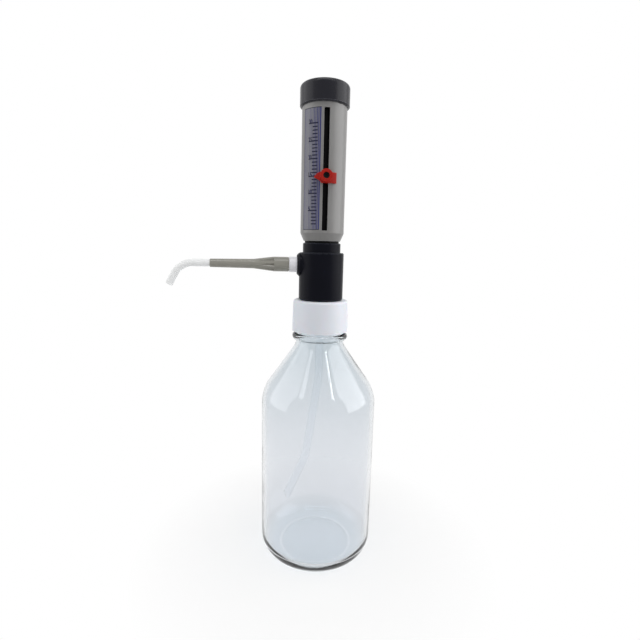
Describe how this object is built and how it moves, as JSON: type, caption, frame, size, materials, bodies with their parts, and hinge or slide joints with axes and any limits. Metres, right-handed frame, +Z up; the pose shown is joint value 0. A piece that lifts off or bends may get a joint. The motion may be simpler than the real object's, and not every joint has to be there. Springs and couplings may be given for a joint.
{
  "type": "bottle top dispenser",
  "caption": "Piston dispenser with ball valves, a lifting sleeve, a volume stop and a curved spout, screwed onto a clear glass reagent bottle.",
  "frame": {"origin": "centre of the ring that the bottle stands on, on the bottle's axis", "axes": "+Z up along the bottle's axis, -X towards the spout, -Y the side with the volume scale and its slot"},
  "size_m": [0.175, 0.098, 0.3932],
  "materials": {
    "bottle_glass": "clear moulded glass with a faint green tint",
    "barrel_glass": "clear precision glass",
    "white_plastic": "smooth, slightly translucent white polypropylene",
    "pale_plastic": "natural polypropylene",
    "ptfe": "white PTFE",
    "dark_plastic": "dark blue-black moulded plastic",
    "cap_plastic": "dark blue-grey moulded plastic",
    "black_plastic": "black moulded plastic",
    "black_rubber": "black fluoro rubber",
    "sleeve_grey": "satin light grey",
    "scale_blue": "blue-grey printed film",
    "grey_plastic": "warm grey moulded plastic",
    "clear_fep": "translucent fluoropolymer tube",
    "ceramic_white": "polished ceramic",
    "spring_steel": "drawn wire",
    "nut_steel": "turned stainless steel",
    "screw_steel": "blackened steel",
    "red_plastic": "orange-red moulded plastic"
  },
  "bodies": {
    "bottle": {"bottle": "bottle_glass"},
    "adapter": {"adapter_bush": "pale_plastic", "seal_ring": "ptfe"},
    "collar": {"screw_collar": "white_plastic"},
    "head": {"valve_head": "dark_plastic", "stem_seal": "black_rubber", "suction_nipple": "ptfe", "suction_tube": "clear_fep", "inlet_seat": "ptfe", "inlet_cage": "ptfe", "barrel_gasket": "ptfe", "glass_barrel": "barrel_glass", "clamp_nut": "dark_plastic", "guard_tube": "black_plastic", "guard_cap": "black_plastic", "outlet_connector": "white_plastic", "outlet_seat": "ptfe", "outlet_spring": "spring_steel", "spigot_seal": "black_rubber"},
    "inlet_valve_ball": {"inlet_ball": "ceramic_white"},
    "outlet_valve_ball": {"outlet_ball": "ceramic_white"},
    "spout": {"spout_holder": "grey_plastic", "outlet_tube": "clear_fep"},
    "plunger": {"sleeve": "sleeve_grey", "scale_label": "scale_blue", "top_cap": "cap_plastic", "crosshead": "black_plastic", "rod_nut": "nut_steel", "piston_rod": "ceramic_white", "piston": "ptfe", "piston_seals": "ptfe"},
    "stop": {"stop_ring": "black_plastic", "volume_pointer": "red_plastic"},
    "screw": {"lock_screw": "screw_steel"}
  },
  "joints": [
    {"name": "head_lift", "type": "slide", "parent": "bottle", "child": "adapter", "axis": [0, 0, 1], "range_m": [0, 0.012]},
    {"name": "collar_turn", "type": "hinge", "parent": "adapter", "child": "collar", "pos_m": [0, 0, 0.21326], "axis": [0, 0, 1], "range_deg": [0, 1441]},
    {"name": "head_swivel", "type": "hinge", "parent": "adapter", "child": "head", "pos_m": [0, 0, 0.22656], "axis": [0, 0, 1], "continuous": true},
    {"name": "inlet_valve", "type": "slide", "parent": "head", "child": "inlet_valve_ball", "axis": [0, 0, 1], "range_m": [0, 0.0015]},
    {"name": "outlet_valve", "type": "slide", "parent": "head", "child": "outlet_valve_ball", "axis": [-1, 0, 0], "range_m": [0, 0.0012], "stiffness_N_per_m": 50, "springref_m": -0.002, "deforming": ["outlet_spring"]},
    {"name": "spout_swivel", "type": "hinge", "parent": "head", "child": "spout", "pos_m": [-0.03, 0, 0.25526], "axis": [-1, 0, 0], "range_deg": [-180, 180]},
    {"name": "plunger_lift", "type": "slide", "parent": "head", "child": "plunger", "axis": [0, 0, 1], "range_m": [0, 0.03824]},
    {"name": "stop_slide", "type": "slide", "parent": "head", "child": "stop", "axis": [0, 0, 1], "range_m": [0, 0.03834]},
    {"name": "screw_turn", "type": "hinge", "parent": "stop", "child": "screw", "pos_m": [0, -0.021, 0.3233], "axis": [0, -1, 0], "range_deg": [0, 360]}
  ],
  "couplings": [
    {"joint": "collar_turn", "follows": "head_lift", "rad_per_m": 2094.4}
  ]
}
